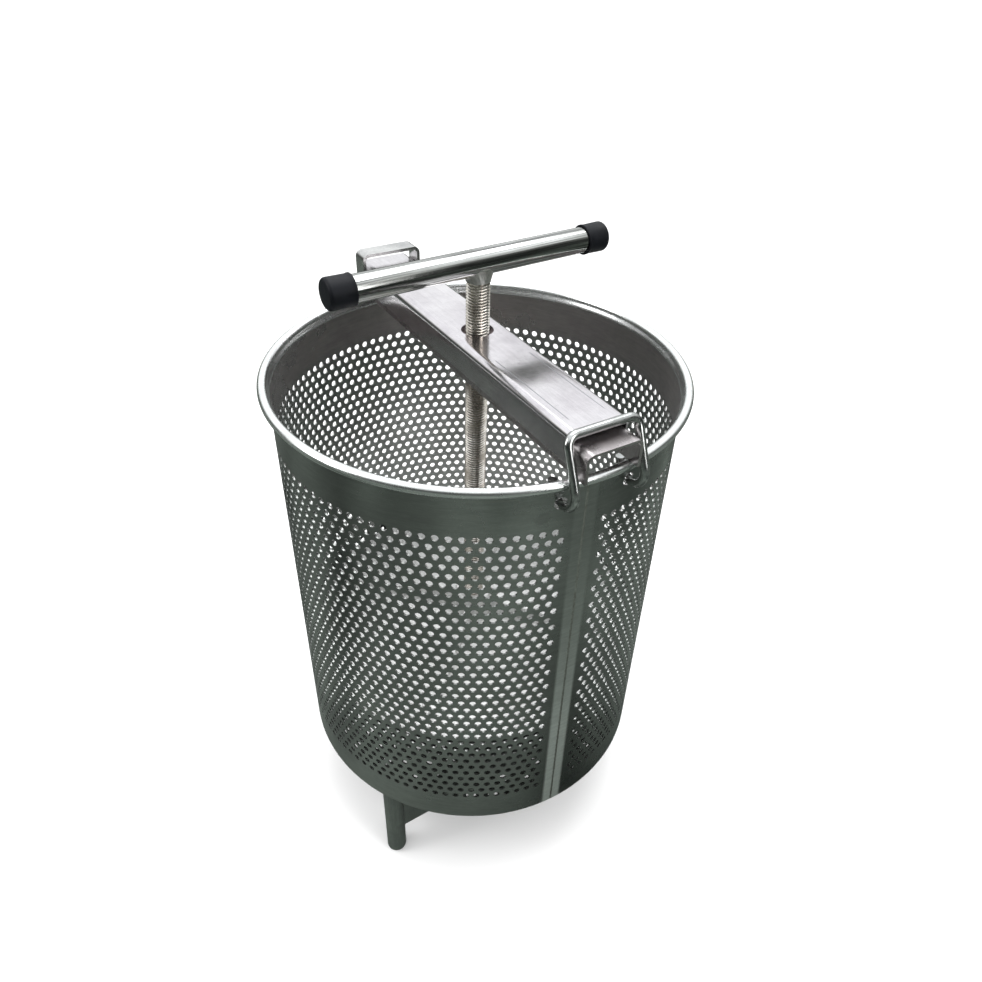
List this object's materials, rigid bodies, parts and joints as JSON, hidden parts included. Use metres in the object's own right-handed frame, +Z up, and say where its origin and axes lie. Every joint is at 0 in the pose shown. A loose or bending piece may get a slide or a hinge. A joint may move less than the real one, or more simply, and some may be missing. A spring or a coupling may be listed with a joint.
{
  "type": "apple cider press",
  "caption": "Upright fruit press: perforated round steel basket on legs, lift-off crossbeam held by a keeper and a hinged stirrup, threaded screw with T-handle, and a pressing plate inside.",
  "frame": {"origin": "on the ground, under the middle of the basket, at the centre of the bounding box's bottom", "axes": "+Z up along the screw, X along the crossbeam with its near end at +X, Y along the handle"},
  "size_m": [0.3826, 0.3666, 0.6115],
  "materials": {
    "perforated_steel": "satin, slightly smudged",
    "basket_steel": "satin",
    "rim_steel": "polished",
    "wire_steel": "drawn",
    "beam_steel": "polished on top, satin sides",
    "nut_steel": "machined",
    "plate_steel": "satin",
    "washer_brass": "machined",
    "set_screw_steel": "machined",
    "screw_steel": "cut thread",
    "handle_steel": "polished",
    "weld_steel": "bead blasted weld",
    "cap_rubber": "matte",
    "rod_steel": "polished rod"
  },
  "bodies": {
    "basket": {"basket_wall": "perforated_steel", "rolled_rim": "rim_steel", "rim_wire": "wire_steel", "beam_keeper": "beam_steel", "bottom_plate": "basket_steel", "leg_1": "basket_steel", "leg_2": "basket_steel", "leg_3": "basket_steel", "tie_bar_1": "basket_steel", "tie_bar_2": "basket_steel", "tie_bar_3": "basket_steel"},
    "crossbeam": {"beam_channel": "beam_steel", "beam_cover": "beam_steel", "beam_spacer": "beam_steel", "screw_nut": "nut_steel"},
    "press": {"press_disc": "plate_steel", "press_hub": "plate_steel", "thrust_washer": "washer_brass", "hub_set_screws": "set_screw_steel", "press_rib_1": "plate_steel", "press_rib_2": "plate_steel", "press_rib_3": "plate_steel", "press_rib_4": "plate_steel"},
    "screw": {"screw": "screw_steel", "handle_tube": "handle_steel", "handle_weld": "weld_steel", "handle_cap_near": "cap_rubber", "handle_cap_far": "cap_rubber"},
    "stirrup": {"stirrup": "rod_steel"}
  },
  "joints": [
    {"name": "beam_lift", "type": "slide", "parent": "basket", "child": "crossbeam", "axis": [0, 0, 1], "range_m": [0, 0.0044]},
    {"name": "press_feed", "type": "slide", "parent": "crossbeam", "child": "press", "axis": [0, 0, -1], "range_m": [-0.2625, 0.038]},
    {"name": "screw_turn", "type": "hinge", "parent": "press", "child": "screw", "pos_m": [0, 0, 0.4], "axis": [0, 0, 1], "range_deg": [-5470, 37795]},
    {"name": "stirrup_swing", "type": "hinge", "parent": "basket", "child": "stirrup", "pos_m": [0.17382, 0, 0.501], "axis": [0, 1, 0], "range_deg": [0, 105]}
  ],
  "couplings": [
    {"joint": "press_feed", "follows": "screw_turn", "m_per_rad": -0.00039789}
  ]
}
